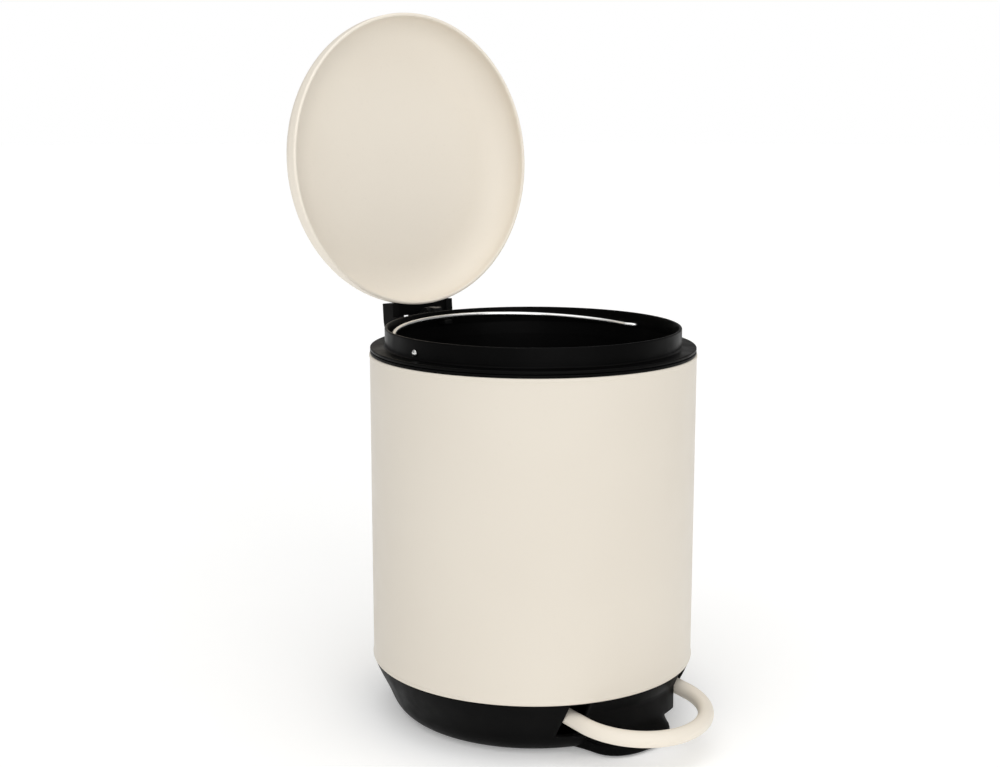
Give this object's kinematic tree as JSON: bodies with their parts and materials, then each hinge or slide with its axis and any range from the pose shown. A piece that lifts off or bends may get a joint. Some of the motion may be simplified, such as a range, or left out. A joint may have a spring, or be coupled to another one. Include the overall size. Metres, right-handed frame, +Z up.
{
  "type": "pedal trash can",
  "caption": "Round pedal bin with a steel body, a domed lid that the pedal lifts by a push rod, and a lift-out inner bucket with a wire bail.",
  "frame": {"origin": "on the bin's axis at the floor that it stands on; the underside mount is the base's flat face 0.8 mm above it", "axes": "+Z up, -Y towards the pedal at the front, +Y towards the lid hinge, +X to the right as seen from the front"},
  "size_m": [0.205, 0.2893, 0.4452],
  "materials": {
    "painted_steel": "smooth satin powder coat, warm cream",
    "black_plastic": "satin black moulded plastic",
    "bucket_plastic": "satin black moulded plastic with a slight sheen",
    "rubber": "matt black rubber",
    "nylon": "natural nylon",
    "bright_wire": "bright nickel-plated wire",
    "zinc_steel": "zinc-plated steel",
    "bright_steel": "bright plated steel"
  },
  "bodies": {
    "bin_body": {"outer_shell": "painted_steel", "base": "black_plastic", "base_ring": "rubber", "tongue_pad": "rubber", "base_screw_1": "bright_steel", "base_screw_2": "bright_steel", "top_ring": "black_plastic", "inner_bucket": "bucket_plastic", "hinge_housing": "black_plastic", "housing_plate": "zinc_steel", "hinge_pin": "bright_steel", "pin_cap_left": "black_plastic", "pin_cap_right": "black_plastic", "housing_screw_left": "bright_steel", "housing_screw_right": "bright_steel", "axle_bearing_left": "black_plastic", "axle_bearing_right": "black_plastic", "axle_clip_left": "bright_steel", "axle_clip_right": "bright_steel", "pedal_axle": "bright_steel", "rod_guide": "black_plastic"},
    "lid": {"lid": "painted_steel", "lid_bracket": "black_plastic", "crank_pin": "bright_steel", "lid_screw_left": "bright_steel", "lid_screw_right": "bright_steel"},
    "pedal": {"pedal": "painted_steel", "pedal_lever": "zinc_steel", "pedal_clamp_left": "zinc_steel", "pedal_clamp_right": "zinc_steel", "lever_bush_left": "nylon", "lever_bush_right": "nylon", "clamp_screw_left_1": "bright_steel", "clamp_screw_left_2": "bright_steel", "clamp_screw_right_1": "bright_steel", "clamp_screw_right_2": "bright_steel"},
    "push_rod": {"push_rod": "zinc_steel", "rod_yoke": "zinc_steel"},
    "bail": {"bucket_handle": "bright_wire"}
  },
  "joints": [
    {"name": "lid_hinge", "type": "hinge", "parent": "bin_body", "child": "lid", "pos_m": [0, 0.1113, 0.2372], "axis": [1, 0, 0], "range_deg": [0, 93.9]},
    {"name": "pedal_pivot", "type": "hinge", "parent": "bin_body", "child": "pedal", "pos_m": [0, -0.05, 0.029], "axis": [1, 0, 0], "range_deg": [-7.8, 0]},
    {"name": "rod_slide", "type": "slide", "parent": "bin_body", "child": "push_rod", "axis": [0, 0, 1], "range_m": [-0.0182, 0]},
    {"name": "bail_hinge", "type": "hinge", "parent": "bin_body", "child": "bail", "pos_m": [0, 0, 0.2405], "axis": [1, 0, 0], "range_deg": [0, 174]}
  ],
  "couplings": [
    {"joint": "pedal_pivot", "follows": "lid_hinge", "ratio": -0.0825},
    {"joint": "rod_slide", "follows": "lid_hinge", "m_per_rad": -0.01106}
  ]
}
